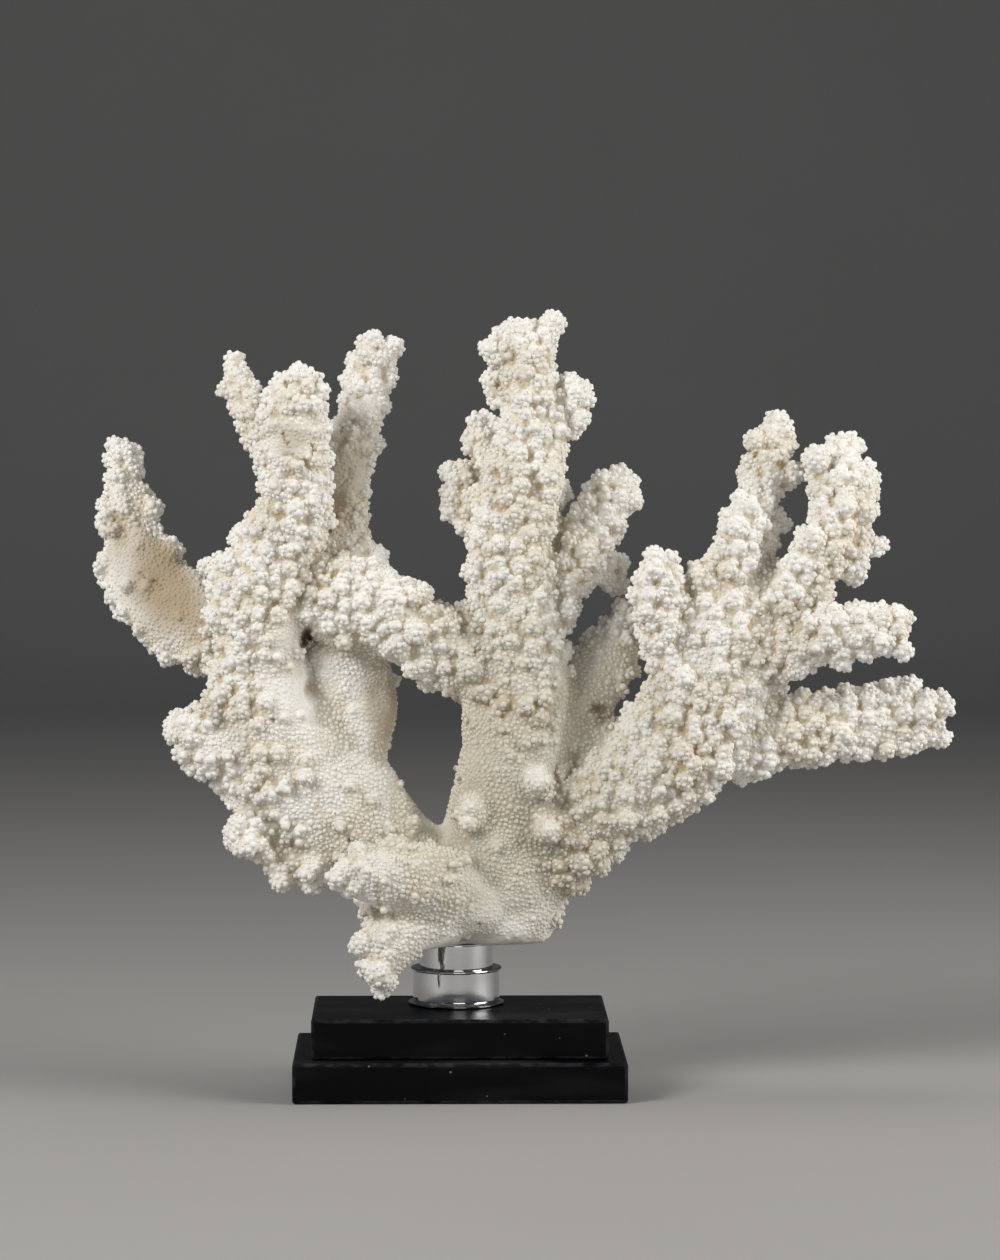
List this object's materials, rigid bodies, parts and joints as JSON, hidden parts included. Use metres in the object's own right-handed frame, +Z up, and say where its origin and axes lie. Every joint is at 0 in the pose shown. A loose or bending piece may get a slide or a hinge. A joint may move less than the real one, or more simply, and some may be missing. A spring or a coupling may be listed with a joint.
{
  "type": "branching coral on a stand",
  "caption": "Dried white branching coral with knobbly, palm-like limbs, fixed by a bright turned collar to a stepped black plinth; a free-standing display piece.",
  "frame": {"origin": "middle of the plinth's underside", "axes": "+Z up, +X to the right along the plinth's long side, -Y towards the viewer of the front"},
  "size_m": [0.4043, 0.1056, 0.362],
  "materials": {
    "coral": "matte",
    "collar": "polished",
    "plinth": "satin"
  },
  "bodies": {
    "root": {"coral_trunk": "coral", "coral_front_lobe": "coral", "coral_left_limb": "coral", "coral_right_limb": "coral", "coral_right_inner_lobe": "coral", "coral_left_column": "coral", "coral_bridge": "coral", "coral_inner_lobe": "coral", "coral_far_left_branch": "coral", "coral_left_rear_branch": "coral", "coral_left_centre_branch": "coral", "coral_centre_branch": "coral", "coral_centre_right_branch": "coral", "coral_right_rear_branch": "coral", "coral_right_tall_branch": "coral", "coral_right_upper_finger": "coral", "coral_right_lower_finger": "coral", "collar": "collar", "plinth_upper": "plinth", "plinth_lower": "plinth"}
  },
  "joints": []
}
